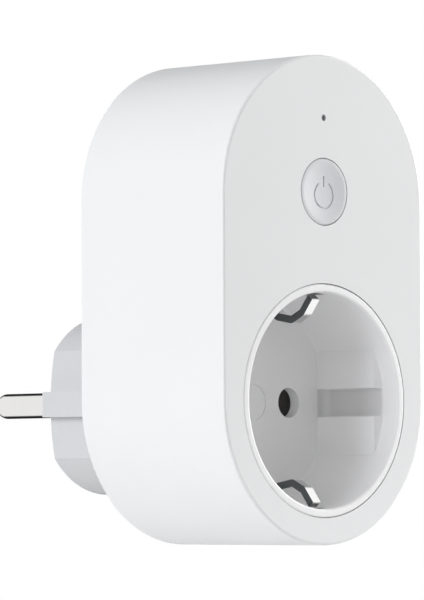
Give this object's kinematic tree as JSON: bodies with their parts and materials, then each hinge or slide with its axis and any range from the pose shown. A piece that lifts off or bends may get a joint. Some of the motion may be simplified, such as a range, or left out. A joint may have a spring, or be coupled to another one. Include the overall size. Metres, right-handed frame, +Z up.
{
  "type": "smart plug",
  "caption": "Tall rounded smart plug adapter with a recessed round-pin earthed socket and a push button in front, and a two-pin earthed plug boss behind.",
  "frame": {"origin": "on the plug's axis, at the boss's end face, where the plug rests against the floor of a wall socket", "axes": "+Y into the wall along the pins, +Z up along the tall case, +X to the right seen from the front"},
  "size_m": [0.053, 0.077, 0.09],
  "materials": {
    "shell_plastic": "fine satin",
    "cover_plastic": "fine satin",
    "socket_plastic": "semi-gloss",
    "shutter_plastic": "satin",
    "carrier_plastic": "satin",
    "button_plastic": "satin",
    "spring_steel": "drawn wire",
    "contact_brass": "stamped",
    "nickel": "nickel plated",
    "pin_nickel": "nickel plated",
    "lead_brown": "extruded",
    "lead_blue": "extruded",
    "black_plastic": "moulded",
    "plunger_plastic": "moulded",
    "light_pipe": "clear",
    "led_body": "clear resin",
    "board": "solder mask",
    "radio_board": "solder mask",
    "tin_shield": "tinned sheet",
    "relay_base": "moulded",
    "relay_case": "moulded",
    "relay_steel": "plated",
    "copper_coil": "wound wire",
    "ferrite": "sintered",
    "tape_yellow": "tape",
    "film_box": "moulded box",
    "can_sleeve": "shrink sleeve",
    "varistor_blue": "dipped",
    "fuse_body": "moulded",
    "screw_steel": "zinc plated"
  },
  "bodies": {
    "case": {"board_header": "black_plastic", "board_screws": "screw_steel", "bulk_capacitors": "can_sleeve", "carrier_screws": "screw_steel", "contact_carrier": "carrier_plastic", "control_board": "board", "control_screws": "screw_steel", "cover_screws": "screw_steel", "earth_rivets": "nickel", "film_capacitor": "film_box", "filter_choke": "ferrite", "front_shell": "shell_plastic", "fuse": "fuse_body", "light_pipe": "light_pipe", "live_contact": "contact_brass", "live_lead": "lead_brown", "live_pin": "pin_nickel", "neutral_contact": "contact_brass", "neutral_lead": "lead_blue", "neutral_pin": "pin_nickel", "pin_carrier": "carrier_plastic", "pin_carrier_screws": "screw_steel", "plug_earth_bracket": "nickel", "power_board": "board", "radio_module": "radio_board", "radio_shield": "tin_shield", "rear_cover": "cover_plastic", "rectifier": "black_plastic", "relay_base": "relay_base", "relay_case": "relay_case", "relay_coil": "copper_coil", "shutter_spring": "spring_steel", "socket_cup": "socket_plastic", "socket_earth_bracket": "nickel", "status_led": "led_body", "switch_body": "black_plastic", "transformer_coil": "tape_yellow", "transformer_core": "ferrite", "varistor": "varistor_blue"},
    "button": {"button_cap": "button_plastic"},
    "plunger": {"switch_plunger": "plunger_plastic"},
    "shutter_slider": {"shutter": "shutter_plastic"},
    "armature": {"relay_armature": "relay_steel"}
  },
  "joints": [
    {"name": "button_press", "type": "slide", "parent": "case", "child": "button", "axis": [0, 1, 0], "range_m": [0, 0.0004], "stiffness_N_per_m": 800},
    {"name": "plunger_press", "type": "slide", "parent": "case", "child": "plunger", "axis": [0, 1, 0], "range_m": [0, 0.0004]},
    {"name": "shutter_slide", "type": "slide", "parent": "case", "child": "shutter_slider", "axis": [-1, 0, 0], "range_m": [0, 0.0058], "stiffness_N_per_m": 150, "deforming": ["shutter_spring"]},
    {"name": "armature_pull", "type": "hinge", "parent": "case", "child": "armature", "pos_m": [0.0005, -0.0386, 0.03], "axis": [0, 0, -1], "range_deg": [0, 2.5], "stiffness_Nm_per_rad": 0.02}
  ],
  "couplings": [
    {"joint": "plunger_press", "follows": "button_press", "ratio": 1}
  ]
}
